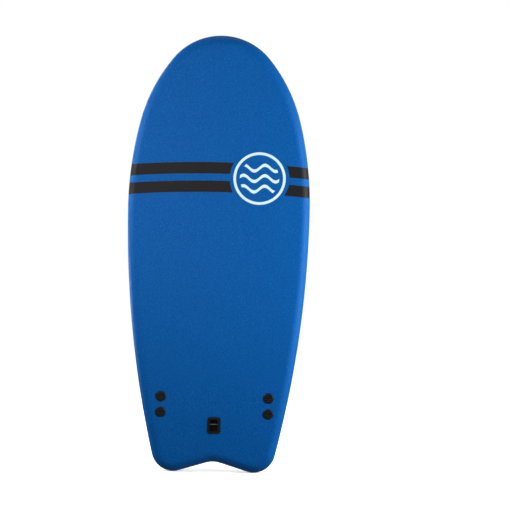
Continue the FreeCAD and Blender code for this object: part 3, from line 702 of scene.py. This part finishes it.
def bolt_mesh():
    """A round cap with a coin slot in its domed top, on a threaded shank. Its own +Z points out
    of the deck, and the underside of the cap is at 0."""
    mesh = Mesh()
    slot_length, slot_width, slot_depth, slot_corner = 1.3 * CAP_RADIUS, 3.0, 1.3, 0.9
    count, grid = 96, 2.4
    dome, rim, edge, neck = 0.5, 1.5, 0.4, 0.6

    def ring(radius, height):
        return mesh.loop([(p.x, p.y, height) for p in circle(radius, count)])

    def top(p):
        return CAP_HEIGHT - dome * (p.length / CAP_RADIUS) ** 2

    steps = 6
    turns = [index / steps * math.pi / 2 for index in range(steps + 1)]
    side = [ring(SHANK_RADIUS + neck, 0), ring(CAP_RADIUS - edge, 0), ring(CAP_RADIUS, edge)]
    shoulder = CAP_HEIGHT - dome - rim
    side += [ring(CAP_RADIUS - rim * (1 - math.cos(turn)), shoulder + rim * math.sin(turn))
             for turn in turns]
    mesh.bridge(*side)
    lips = [(0.35, 0.0), (0.1, 0.1), (0, 0.35), (0, slot_depth)]  # growth and depth
    slot = [mesh.loop([(p.x, p.y, top(p) - depth) for p in rounded_rectangle(
        slot_length, slot_width, slot_corner, 5, grow)]) for grow, depth in lips]
    mesh.bridge(*slot)
    mesh.fan(slot[-1])
    mesh.fill(side[-1], [slot[0]], flatten=lambda p: Vector((p.x, p.y)),
              lift=lambda p: (p.x, p.y, top(p)), spacing=grid)

    pitch, depth, per_turn, flatness = 2.4, 0.55, 8, 1.6
    rings = [side[0]]
    rows = round(SHANK_LENGTH / pitch * per_turn)
    for row in range(rows + 1):
        down = SHANK_LENGTH * row / rows
        fade = min(1, down / pitch, (SHANK_LENGTH - down) / pitch)
        points = []
        for index in range(count):
            turn = index / count
            phase = (down / pitch + turn) % 1
            ridge = abs(2 * phase - 1)
            radius = SHANK_RADIUS - depth * (1 - fade * min(1, flatness * ridge))
            spot = radius * toward(math.tau * turn)
            points.append((spot.x, spot.y, -down))
        rings.append(mesh.loop(points))
    taper = 1.4
    tip = ring(SHANK_RADIUS - taper, -SHANK_LENGTH)
    mesh.bridge(*rings, tip)
    mesh.fan(tip)
    return mesh.build("deck_bolt", LOOKS["black_plastic"], 45)


BOLT = bolt_mesh()
for (side, end), spot in BOLTS.items():
    node = f"deck_bolt_{side}_{end}"
    seat = node_box(node)[0].y + CAP_HEIGHT
    piece(f"coin_bolt_{side}_{end}", BOLT, f"{node}_body", "black_plastic", node,
          matrix=Matrix.Translation(Vector((spot.x, seat, spot.z)) * MM) @ DECKWARD)

# ---------------------------------------------------------------- fin screws

TILT = math.radians(40)  # from the plate's face to the screw's line
SCREW_RADIUS = 2.5
SCREW_LENGTH = 5.0  # of the threaded part
SCREW_POINT = 0.6  # radius of the flat on the point
SCREW_GAP = 0.15  # from the tab to the point
SCREW_BITE = 7.8  # how deep under the plate's face the point is
TAB_THICKNESS = 6.4
TAB_SPACING = 50


def screw_mesh():
    """A threaded grub screw with a hexagon socket. Its sharp point would be at the origin."""
    mesh = Mesh()
    count = 48
    low, shoulder = SCREW_POINT / math.tan(TILT), SCREW_RADIUS / math.tan(TILT)
    head = shoulder + SCREW_LENGTH
    pitch, depth, per_turn = 0.8, 0.28, 8

    def ring(radius, height):
        return mesh.loop([(p.x, p.y, height) for p in circle(radius, count)])

    foot = ring(SCREW_POINT, low)
    mesh.fan(foot)
    rings = [foot, ring(SCREW_RADIUS - depth, shoulder - depth / math.tan(TILT))]
    rows = round(SCREW_LENGTH / pitch * per_turn)
    for row in range(rows):
        up = SCREW_LENGTH * (row + 0.5) / rows
        points = []
        for index in range(count):
            turn = index / count
            ridge = abs(2 * ((up / pitch - turn) % 1) - 1)
            radius = SCREW_RADIUS - depth * (1 - ridge)
            spot = radius * toward(math.tau * turn)
            points.append((spot.x, spot.y, shoulder + up))
        rings.append(mesh.loop(points))
    rings.append(ring(SCREW_RADIUS - depth, head))
    key, key_depth, lead = 2.5, 2.5, 0.25

    def hexagon(grow, height):
        """A loop round the key's six sides, with as many points as the rings."""
        points = []
        for index in range(count):
            angle = math.tau * index / count
            off = (angle + math.pi / 6) % (math.pi / 3) - math.pi / 6
            spot = (key / 2 + grow) / math.cos(off) * toward(angle)
            points.append((spot.x, spot.y, height))
        return mesh.loop(points)

    rings += [hexagon(lead, head), hexagon(0, head - lead), hexagon(0, head - key_depth)]
    mesh.bridge(*rings)
    mesh.fan(rings[-1])
    return mesh.build("grub_screw", LOOKS["steel"], 35)


SCREW = screw_mesh()
for side, sign in SIDES.items():
    for end, ahead in ENDS.items():
        outboard = -sign * ahead
        spot = Vector((PLATES[side].x + outboard * (TAB_THICKNESS / 2 + SCREW_GAP),
                       PLATE_HIGH.y - SCREW_BITE, PLATES[side].z + ahead * TAB_SPACING / 2))
        lean = Matrix.Rotation(-outboard * TILT, 4, "Z") @ Matrix.Rotation(-math.pi / 2, 4, "X")
        node = f"fin_screw_{side}_{end}"
        piece(f"grub_screw_{side}_{end}", SCREW, f"{node}_body", "steel", node,
              matrix=Matrix.Translation(spot * MM) @ lean)

# ---------------------------------------------------------------- fins

FIN_BASE = 97
FIN_HEIGHT = 104
FIN_REACH = 146  # from the front of the base back to the tip's end
FIN_PEAK = 123  # and back to the highest point
FIN_THICKNESS = 7.5
FIN_THINNING = 0.6  # share of the thickness lost by the tip
FIN_EDGE = 0.8  # thickness of the trailing edge
FIN_CANT = math.radians(5)
FIN_FULLNESS = 14  # the higher, the nearer to the tip the blade rounds off
CLOSING = 0.997  # share of the height where the tip is closed
LEADING_RADIUS = 350
SWEEP_RADIUS = 114
FIN_TIP_RADIUS = 10
TRAILING_RADIUS = 40
TRAILING_WAIST = 94
WAIST_HEIGHT = 36
TAB_LENGTH = 17
TAB_DEPTH = 12 + FIT_GAP  # from the fin's base line to the tab's end
TAB_ROOT = 0.6  # how far it reaches into the blade
TAB_CORNER = 0.8
TAB_CHAMFER = 1.0


def tangent_line(centre_a, radius_a, centre_b, radius_b, side):
    """Where a straight line touches two circles that it passes between."""
    span = centre_b - centre_a
    normal = toward(angle_of(span) + side * math.acos((radius_a + radius_b) / span.length))
    return centre_a + radius_a * normal, centre_b - radius_b * normal


def fin_edges():
    """Functions for the leading and the trailing edge: distance back at a height."""
    start = Vector((0, 0))
    sweep = Vector((FIN_PEAK, FIN_HEIGHT - SWEEP_RADIUS))
    leading = max(circles_meet(start, LEADING_RADIUS, sweep, LEADING_RADIUS - SWEEP_RADIUS),
                  key=lambda point: point.x - point.y)
    tip_x = FIN_REACH - FIN_TIP_RADIUS
    reach = SWEEP_RADIUS - FIN_TIP_RADIUS
    tip = Vector((tip_x, sweep.y + math.sqrt(reach**2 - (tip_x - sweep.x) ** 2)))
    hollow = Vector((TRAILING_WAIST + TRAILING_RADIUS, WAIST_HEIGHT))
    heel = Vector((FIN_BASE, 0))
    tip_touch, hollow_touch = tangent_line(tip, FIN_TIP_RADIUS, hollow, TRAILING_RADIUS, +1)
    to_heel = heel - hollow
    turn = angle_of(to_heel) - math.acos(TRAILING_RADIUS / to_heel.length)
    heel_touch = hollow + TRAILING_RADIUS * toward(turn)
    joint = sweep + (sweep - leading).normalized() * SWEEP_RADIUS

    def on_circle(centre, radius, height, side):
        return centre.x + side * math.sqrt(max(radius**2 - (height - centre.y) ** 2, 0))

    def front(height):
        if height < joint.y:
            return on_circle(leading, LEADING_RADIUS, height, -1)
        return on_circle(sweep, SWEEP_RADIUS, height, -1)

    def back(height):
        if height < heel_touch.y:
            return heel.lerp(heel_touch, height / heel_touch.y).x
        if height < hollow_touch.y:
            return on_circle(hollow, TRAILING_RADIUS, height, -1)
        if height < tip_touch.y:
            share = (height - hollow_touch.y) / (tip_touch.y - hollow_touch.y)
            return hollow_touch.lerp(tip_touch, share).x
        if height < tip.y + FIN_TIP_RADIUS * (tip - sweep).normalized().y:
            return on_circle(tip, FIN_TIP_RADIUS, height, +1)
        return on_circle(sweep, SWEEP_RADIUS, height, +1)

    return front, back


def foil(share):
    """Half thickness along the chord, from 0 at the round nose to almost 0 at the tail, by the
    common four-digit aerofoil formula. Its greatest value is one half."""
    return (1.4845 * math.sqrt(share)
            - share * (0.63 + share * (1.758 - share * (1.4215 - 0.5075 * share))))


def blade(mesh, sign):
    """The foiled blade. Its base line's front end is at the origin."""
    front, back = fin_edges()
    rows, stations = 44, 30
    shares = [0.5 * (1 - math.cos(math.pi * index / stations)) for index in range(stations + 1)]
    loops = []
    for row in range(rows + 1):
        level = math.sin(row / rows * math.pi / 2) * CLOSING
        height = level * FIN_HEIGHT
        start, stop = front(height), back(height)
        thickness = FIN_THICKNESS * (1 - FIN_THINNING * level)
        thickness *= math.sqrt(1 - level**FIN_FULLNESS)
        middle_x = sign * height * math.tan(FIN_CANT)
        loop = []
        for side, stops in ((-1, shares), (+1, shares[:0:-1])):
            for share in stops:
                half = thickness * foil(share) + FIN_EDGE / 2 * share * min(1, thickness)
                loop.append((middle_x + side * half, height, -(start + share * (stop - start))))
        loops.append(mesh.loop(loop))
    mesh.bridge(*loops)
    mesh.fill(loops[0])
    mesh.fill(loops[-1])


def tab(mesh, centre):
    """One tab under the blade, with its middle at a distance along the base line."""
    rings = []
    for level, grow in ((TAB_ROOT, 0), (TAB_CHAMFER - TAB_DEPTH, 0), (-TAB_DEPTH, -TAB_CHAMFER)):
        shape = rounded_rectangle(TAB_THICKNESS, TAB_LENGTH, TAB_CORNER, 4, grow, (0, centre))
        rings.append(mesh.loop([(p.x, level, p.y) for p in shape]))
    mesh.bridge(*rings)
    mesh.fan(rings[0])
    mesh.fan(rings[-1])


for side, sign in SIDES.items():
    low, high = node_box(f"fin_{side}")
    mesh = Mesh()
    blade(mesh, sign)
    for ahead in ENDS.values():
        tab(mesh, PLATES[side].z + ahead * TAB_SPACING / 2 - high.z)
    data = mesh.build(f"fin_{side}", LOOKS["fin_plastic"])
    piece(f"foiled_fin_{side}", data, f"fin_{side}_body", "fin_plastic", f"fin_{side}",
          matrix=Matrix.Translation(Vector((PLATES[side].x, low.y + TAB_DEPTH, high.z)) * MM))

# ---------------------------------------------------------------- CAD nodes that keep their shape


def keep(node, slot, edge=0.0, look=None):
    """A CAD node in its own shape, with its material and, where edge is set, rounded edges. Its
    look is the slot's own unless another is named."""
    made = frame["nodes"][node]
    made.data.materials.clear()
    made.data.materials.append(LOOKS[look or slot])
    if edge:
        weld = made.modifiers.new("weld", "WELD")
        weld.merge_threshold = 1e-6
        bevel = made.modifiers.new("edges", "BEVEL")
        bevel.width = edge * MM
        bevel.segments = 3
        bevel.limit_method = "ANGLE"
        bevel.angle_limit = math.radians(40)
        bevel.harden_normals = True
        bevel.use_clamp_overlap = True


keep("foam_core", "core_foam")
keep("leash_anchor_block", "dense_foam")
for side in SIDES:
    keep(f"stringer_{side}", "stringer_wood")
    keep(f"fin_box_{side}", "black_plastic", 0.7)
keep("leash_cup", "black_plastic", 0.6)
# The bar gets the darkened steel, painted shade in place of its glint
keep("leash_bar", "steel", 0.3, "shade_darkened_steel")

# ---------------------------------------------------------------- floor, light and camera, metres

CENTRE = Vector((0, SKIN_LOW.y + SKIN_HIGH.y, SKIN_HIGH.z)) / 2 * MM


def floor():
    """White paper, bright enough to run into the background. It takes shadows and casts no
    light on the board."""
    bpy.ops.mesh.primitive_circle_add(vertices=128, radius=7, fill_type="NGON")
    made = bpy.context.object
    made.name = "floor"
    made.visible_diffuse = False
    made.visible_glossy = False
    paper = Material("floor_paper", (0.95, 0.95, 0.95), 0.9, Specular_IOR_Level=0.1,
                     Emission_Color=(1, 1, 1, 1))
    away = paper.node("VectorMath", paper.where, operation="LENGTH").outputs["Value"]
    near, far, faint, bright = 0.2, 2.0, 0.30, 0.90
    paper.set(Base_Color=paper.mix(paper.noise(3, 2), (0.93, 0.93, 0.93), (0.96, 0.96, 0.96)),
              Emission_Strength=paper.spread(away, near, far, faint, bright))
    made.data.materials.append(paper.made)


WHITE = 1.0, 1.0, 1.0
COOL = 0.84, 0.97, 1.0


def area_light(name, place, size, power, target, colour=WHITE):
    light = bpy.data.lights.new(name, "AREA")
    light.color = colour
    light.shape = "RECTANGLE"
    light.size, light.size_y = size
    light.energy = power
    made = bpy.data.objects.new(name, light)
    bpy.context.scene.collection.objects.link(made)
    made.visible_camera = False
    made.location = place
    made.rotation_euler = (target - Vector(place)).to_track_quat("-Z", "Y").to_euler()


def world():
    """A white backdrop to the camera; to all else a dim room, lighter overhead and below."""
    made = bpy.data.worlds.new("studio")
    bpy.context.scene.world = made
    made.use_nodes = True
    nodes, links = made.node_tree.nodes, made.node_tree.links

    def spread(value, low, high, to_low, to_high):
        node = nodes.new("ShaderNodeMapRange")
        links.new(value, node.inputs["Value"])
        ends = {"From Min": low, "From Max": high, "To Min": to_low, "To Max": to_high}
        for name, end in ends.items():
            if isinstance(end, float):
                node.inputs[name].default_value = end
            else:
                links.new(end, node.inputs[name])
        return node.outputs[0]

    direction = nodes.new("ShaderNodeSeparateXYZ")
    links.new(nodes.new("ShaderNodeTexCoord").outputs["Generated"], direction.inputs[0])
    steepness = nodes.new("ShaderNodeMath")
    steepness.operation = "ABSOLUTE"
    links.new(direction.outputs["Z"], steepness.inputs[0])
    room = spread(steepness.outputs[0], 0.1, 1.0, 0.07, 0.36)
    seen = nodes.new("ShaderNodeLightPath").outputs["Is Camera Ray"]
    nodes["Background"].inputs["Color"].default_value = (1, 1, 1, 1)
    links.new(spread(seen, 0.0, 1.0, room, 1.0), nodes["Background"].inputs["Strength"])


def studio():
    """Soft boxes: place, size and power of each, and the point that it faces."""
    world()
    aim = Vector((0, -0.05, 0.95))
    area_light("key", (1.5, -1.1, 0.90), (0.7, 1.1), 12.5, aim)
    area_light("front", (-0.35, -1.2, 0.9), (0.7, 0.7), 4.9, aim)
    area_light("right_side", (1.4, -0.33, 0.76), (0.5, 1.0), 27, Vector((0, -0.05, 0.75)), COOL)
    area_light("left_side", (-1.8, -0.35, 1.6), (0.4, 1.0), 9, aim)
    area_light("left_rail", (-0.7, -0.10, 1.0), (0.12, 0.3), 1.0, Vector((-0.28, -0.05, 0.97)))
    area_light("left_strip", (-1.5, -0.75, 1.15), (0.10, 0.5), 12, aim)
    area_light("rear_key", (-1.5, 1.9, 1.8), (1.3, 1.1), 24, aim)
    area_light("rear_cloud", (2.1, 2.1, 1.65), (1.3, 0.7), 8, aim)
    area_light("rear_low", (0.8, 2.4, 0.9), (1.6, 1.6), 6, aim)
    area_light("fin_strip", (-1.5, 0.75, 0.45), (0.9, 0.3), 12, Vector((0, 0.05, 0.2)))
    area_light("top", (0, 0.3, 3.2), (1.4, 1.4), 12, CENTRE)


def camera():
    """Square to the deck through a long lens, with the board leaning a little in the frame."""
    lens = bpy.data.cameras.new("camera")
    lens.sensor_width = 36
    lens.lens = 120
    lens.clip_end = 100
    made = bpy.data.objects.new("camera", lens)
    bpy.context.scene.collection.objects.link(made)
    place, lean = (0.1173, -5.40, 0.688), math.radians(1.336)
    made.matrix_world = (Matrix.Translation(place)
                         @ Matrix.Rotation(-lean, 4, "Y") @ Matrix.Rotation(math.pi / 2, 4, "X"))
    bpy.context.scene.camera = made


floor()
studio()
camera()
bpy.context.scene.view_settings.view_transform = "Standard"
